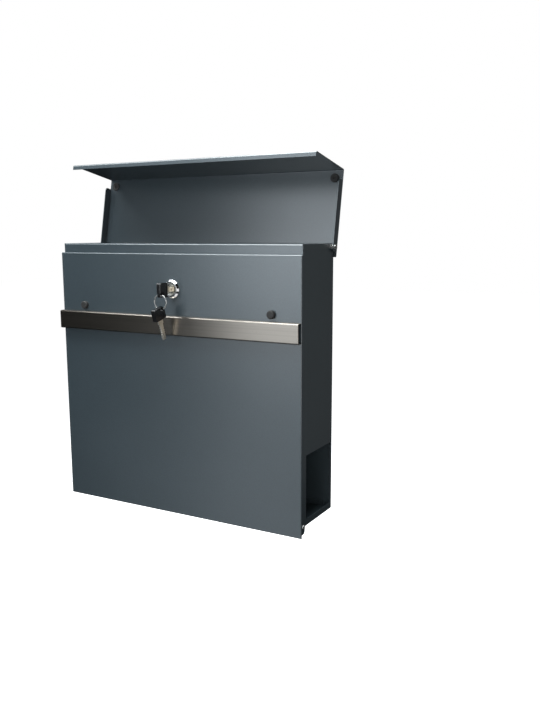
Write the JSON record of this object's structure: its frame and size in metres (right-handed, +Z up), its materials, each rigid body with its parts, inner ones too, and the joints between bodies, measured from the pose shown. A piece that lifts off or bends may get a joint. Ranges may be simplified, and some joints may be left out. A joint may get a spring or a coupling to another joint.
{
  "type": "wall mailbox",
  "caption": "Wall mailbox in dark sheet steel with a lifting lid, bottom-hinged front door, cam lock with keys, bright trim strip and a newspaper slot through its foot.",
  "frame": {"origin": "centre of the four wall holes, on the plane of the wall", "axes": "+X to the right seen from the front, +Y into the wall, +Z up; the door faces -Y"},
  "size_m": [0.379, 0.1519, 0.4601],
  "materials": {
    "paint": "satin anthracite powder coat",
    "brushed_strip": "brushed along its length",
    "chrome_ring": "polished",
    "steel": "bright zinc-plated screws",
    "zinc": "dull zinc",
    "lock_face": "nickel-plated die casting",
    "rubber": "matt",
    "blade_nickel": "nickel-plated, satin",
    "bow_plastic": "gloss black"
  },
  "bodies": {
    "cabinet": {"back_panel": "paint", "wall_spacers": "rubber", "left_side": "paint", "right_side": "paint", "front_rail": "paint", "letter_floor": "paint", "base_tray": "paint", "lid_pivot_screws": "steel", "lid_pivot_spacers": "steel", "lid_pivot_nuts": "zinc", "door_pivot_screws": "steel", "door_pivot_spacers": "zinc", "door_pivot_nuts": "zinc"},
    "lid": {"lid_panel": "paint", "lid_wall_stops": "rubber"},
    "door": {"door_panel": "paint", "trim_strip": "brushed_strip", "trim_studs": "steel", "trim_nuts": "zinc", "door_bumpers": "rubber", "lock_ring": "chrome_ring", "lock_barrel": "zinc", "lock_nut": "zinc"},
    "plug": {"lock_plug": "lock_face", "cam": "zinc", "cam_screw": "steel"},
    "key": {"key_blade": "blade_nickel", "key_bow": "bow_plastic"},
    "ring": {"key_ring": "steel"},
    "spare_key": {"spare_key_blade": "blade_nickel", "spare_key_bow": "bow_plastic"}
  },
  "joints": [
    {"name": "lid_hinge", "type": "hinge", "parent": "cabinet", "child": "lid", "pos_m": [0, -0.0161, 0.1259], "axis": [1, 0, 0], "range_deg": [0, 102.8]},
    {"name": "door_hinge", "type": "hinge", "parent": "cabinet", "child": "door", "pos_m": [0, -0.0964, -0.2094], "axis": [1, 0, 0], "range_deg": [0, 90]},
    {"name": "lock_turn", "type": "hinge", "parent": "door", "child": "plug", "pos_m": [0, -0.096, 0.0732], "axis": [0, -1, 0], "range_deg": [0, 90]},
    {"name": "key_out", "type": "slide", "parent": "plug", "child": "key", "axis": [0, -1, 0], "range_m": [0, 0.1]},
    {"name": "ring_swing", "type": "hinge", "parent": "key", "child": "ring", "pos_m": [0, -0.1251, 0.0677], "axis": [1, 0, 0], "range_deg": [-15, 5]},
    {"name": "spare_key_round_ring", "type": "hinge", "parent": "ring", "child": "spare_key", "pos_m": [0, -0.1251, 0.0587], "axis": [0, -1, 0], "range_deg": [-90, 0]}
  ],
  "couplings": [
    {"joint": "key_out", "follows": "lid_hinge", "m_per_rad": 0.05568},
    {"joint": "spare_key_round_ring", "follows": "lock_turn", "ratio": -1}
  ]
}
